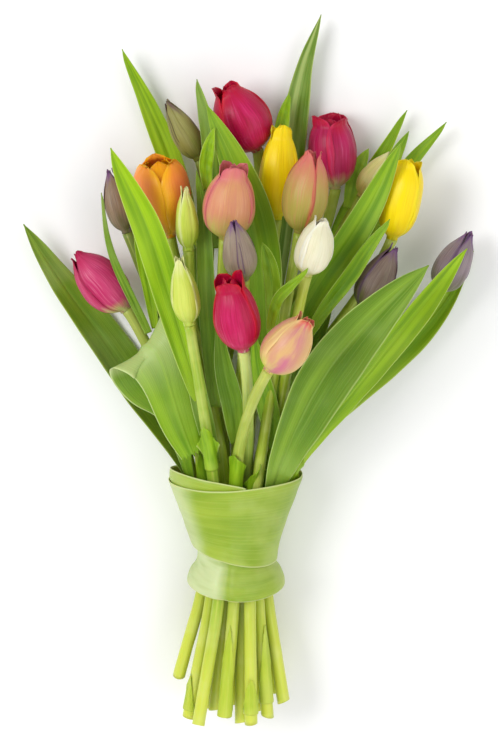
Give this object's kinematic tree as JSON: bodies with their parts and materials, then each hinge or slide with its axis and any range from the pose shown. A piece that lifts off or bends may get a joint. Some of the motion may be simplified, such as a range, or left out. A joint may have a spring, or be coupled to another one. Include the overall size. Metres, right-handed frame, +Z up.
{
  "type": "tulip bouquet",
  "caption": "Hand-tied bouquet of mixed tulips lying on its back, with long leaves, leaf bands wrapped round the stems and bare cut stem ends.",
  "frame": {"origin": "centre of the bouquet's box, on the surface it lies on", "axes": "+Y from the cut stems towards the flower heads, +X to the right seen from above with the heads away, +Z up"},
  "size_m": [0.2694, 0.4314, 0.119],
  "materials": {
    "stem": "satin, pale green skin with a faint bloom",
    "leaf": "satin, parallel veins and a pale edge",
    "wrap_leaf": "satin, fine veins running round",
    "twine": "matt natural twine",
    "crimson_petal": "silky petal",
    "magenta_petal": "silky petal, pale at its base",
    "yellow_petal": "silky petal",
    "orange_petal": "silky petal with yellow edges",
    "pink_petal": "silky petal with a green flush",
    "peach_petal": "silky petal, cream at its base",
    "white_petal": "silky ivory petal",
    "pale_green_petal": "satin bud",
    "olive_petal": "satin bud",
    "purple_petal": "satin bud with a violet tip"
  },
  "bodies": {
    "root": {"stem_crimson_top": "stem", "head_crimson_top": "crimson_petal", "stem_crimson_right": "stem", "head_crimson_right": "crimson_petal", "stem_yellow_centre": "stem", "head_yellow_centre": "yellow_petal", "stem_pink_green": "stem", "head_pink_green": "pink_petal", "stem_yellow_right": "stem", "head_yellow_right": "yellow_petal", "stem_olive_bud": "stem", "head_olive_bud": "olive_petal", "stem_orange": "stem", "head_orange": "orange_petal", "stem_purple_left": "stem", "head_purple_left": "purple_petal", "stem_pale_bud_upper": "stem", "head_pale_bud_upper": "pale_green_petal", "stem_pink_centre": "stem", "head_pink_centre": "pink_petal", "stem_lilac_centre": "stem", "head_lilac_centre": "purple_petal", "stem_crimson_centre": "stem", "head_crimson_centre": "crimson_petal", "stem_peach_front": "stem", "head_peach_front": "peach_petal", "stem_white": "stem", "head_white": "white_petal", "stem_pale_bud_lower": "stem", "head_pale_bud_lower": "pale_green_petal", "stem_magenta_left": "stem", "head_magenta_left": "magenta_petal", "stem_purple_right": "stem", "head_purple_right": "purple_petal", "stem_purple_far": "stem", "head_purple_far": "purple_petal", "stem_cream_bud": "stem", "head_cream_bud": "pale_green_petal", "leaf_far_left": "leaf", "leaf_upper_left": "leaf", "leaf_long_left": "leaf", "leaf_dark_top": "leaf", "leaf_centre": "leaf", "leaf_upright": "leaf", "leaf_tallest": "leaf", "leaf_small_top": "leaf", "leaf_back_right": "leaf", "leaf_top_right": "leaf", "leaf_broad_right": "leaf", "leaf_narrow_right": "leaf", "leaf_front_right": "leaf", "leaf_bright_right": "leaf", "leaf_outer_right": "leaf", "leaf_curl": "leaf", "leaf_short": "leaf", "leaf_thin": "leaf", "leaf_folded": "leaf", "tie": "twine", "wrap_upper": "wrap_leaf", "wrap_lower": "wrap_leaf"}
  },
  "joints": []
}
